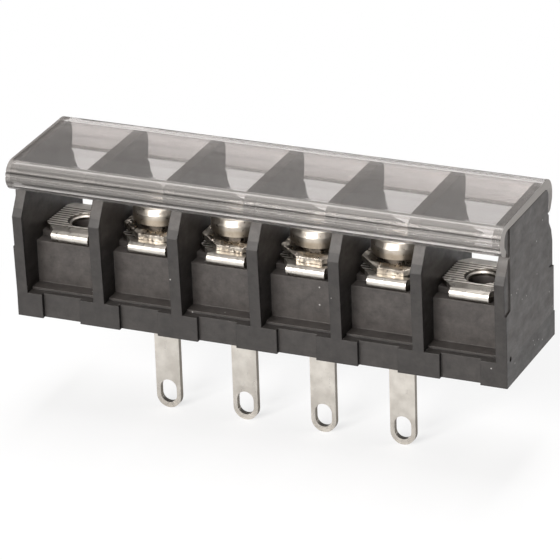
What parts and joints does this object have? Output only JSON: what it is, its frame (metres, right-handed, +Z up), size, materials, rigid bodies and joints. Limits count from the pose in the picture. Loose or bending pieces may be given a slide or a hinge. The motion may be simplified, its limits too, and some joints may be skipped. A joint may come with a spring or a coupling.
{
  "type": "barrier terminal strip",
  "caption": "Black barrier terminal strip with screw clamps over solder lugs, a mounting bay at each end and a clear cover clipped along its top.",
  "frame": {"origin": "on the underside, midway between the two mounting holes", "axes": "+X along the row of terminals, +Y to the back, +Z up through the screws"},
  "size_m": [0.0582, 0.0169, 0.0315],
  "materials": {
    "black_moulding": "fine matt moulded",
    "clear_cover": "clear, glossy",
    "plated_strip": "nickel plated, serrated",
    "plated_screw": "bright nickel plated"
  },
  "bodies": {
    "strip": {"housing": "black_moulding", "terminal_plate_1": "plated_strip", "terminal_plate_2": "plated_strip", "terminal_plate_3": "plated_strip", "terminal_plate_4": "plated_strip", "mounting_plate_left": "plated_strip", "mounting_plate_right": "plated_strip"},
    "cover": {"cover": "clear_cover"},
    "clamp_1": {"clamp_plate_1": "plated_screw", "lock_washer_1": "plated_screw"},
    "screw_1": {"terminal_screw_1": "plated_screw"},
    "clamp_2": {"clamp_plate_2": "plated_screw", "lock_washer_2": "plated_screw"},
    "screw_2": {"terminal_screw_2": "plated_screw"},
    "clamp_3": {"clamp_plate_3": "plated_screw", "lock_washer_3": "plated_screw"},
    "screw_3": {"terminal_screw_3": "plated_screw"},
    "clamp_4": {"clamp_plate_4": "plated_screw", "lock_washer_4": "plated_screw"},
    "screw_4": {"terminal_screw_4": "plated_screw"}
  },
  "joints": [
    {"name": "cover_slide", "type": "slide", "parent": "strip", "child": "cover", "axis": [1, 0, 0], "range_m": [-0.059, 0.059]},
    {"name": "clamp_1_lift", "type": "slide", "parent": "strip", "child": "clamp_1", "axis": [0, 0, 1], "range_m": [0, 0.0042]},
    {"name": "screw_1_turn", "type": "hinge", "parent": "clamp_1", "child": "screw_1", "pos_m": [-0.01425, 0, 0.0094], "axis": [0, 0, 1], "range_deg": [0, 2520]},
    {"name": "clamp_2_lift", "type": "slide", "parent": "strip", "child": "clamp_2", "axis": [0, 0, 1], "range_m": [0, 0.0042]},
    {"name": "screw_2_turn", "type": "hinge", "parent": "clamp_2", "child": "screw_2", "pos_m": [-0.00475, 0, 0.0094], "axis": [0, 0, 1], "range_deg": [0, 2520]},
    {"name": "clamp_3_lift", "type": "slide", "parent": "strip", "child": "clamp_3", "axis": [0, 0, 1], "range_m": [0, 0.0042]},
    {"name": "screw_3_turn", "type": "hinge", "parent": "clamp_3", "child": "screw_3", "pos_m": [0.00475, 0, 0.0094], "axis": [0, 0, 1], "range_deg": [0, 2520]},
    {"name": "clamp_4_lift", "type": "slide", "parent": "strip", "child": "clamp_4", "axis": [0, 0, 1], "range_m": [0, 0.0042]},
    {"name": "screw_4_turn", "type": "hinge", "parent": "clamp_4", "child": "screw_4", "pos_m": [0.01425, 0, 0.0094], "axis": [0, 0, 1], "range_deg": [0, 2520]}
  ],
  "couplings": [
    {"joint": "screw_1_turn", "follows": "clamp_1_lift", "rad_per_m": 10472},
    {"joint": "screw_2_turn", "follows": "clamp_2_lift", "rad_per_m": 10472},
    {"joint": "screw_3_turn", "follows": "clamp_3_lift", "rad_per_m": 10472},
    {"joint": "screw_4_turn", "follows": "clamp_4_lift", "rad_per_m": 10472}
  ]
}
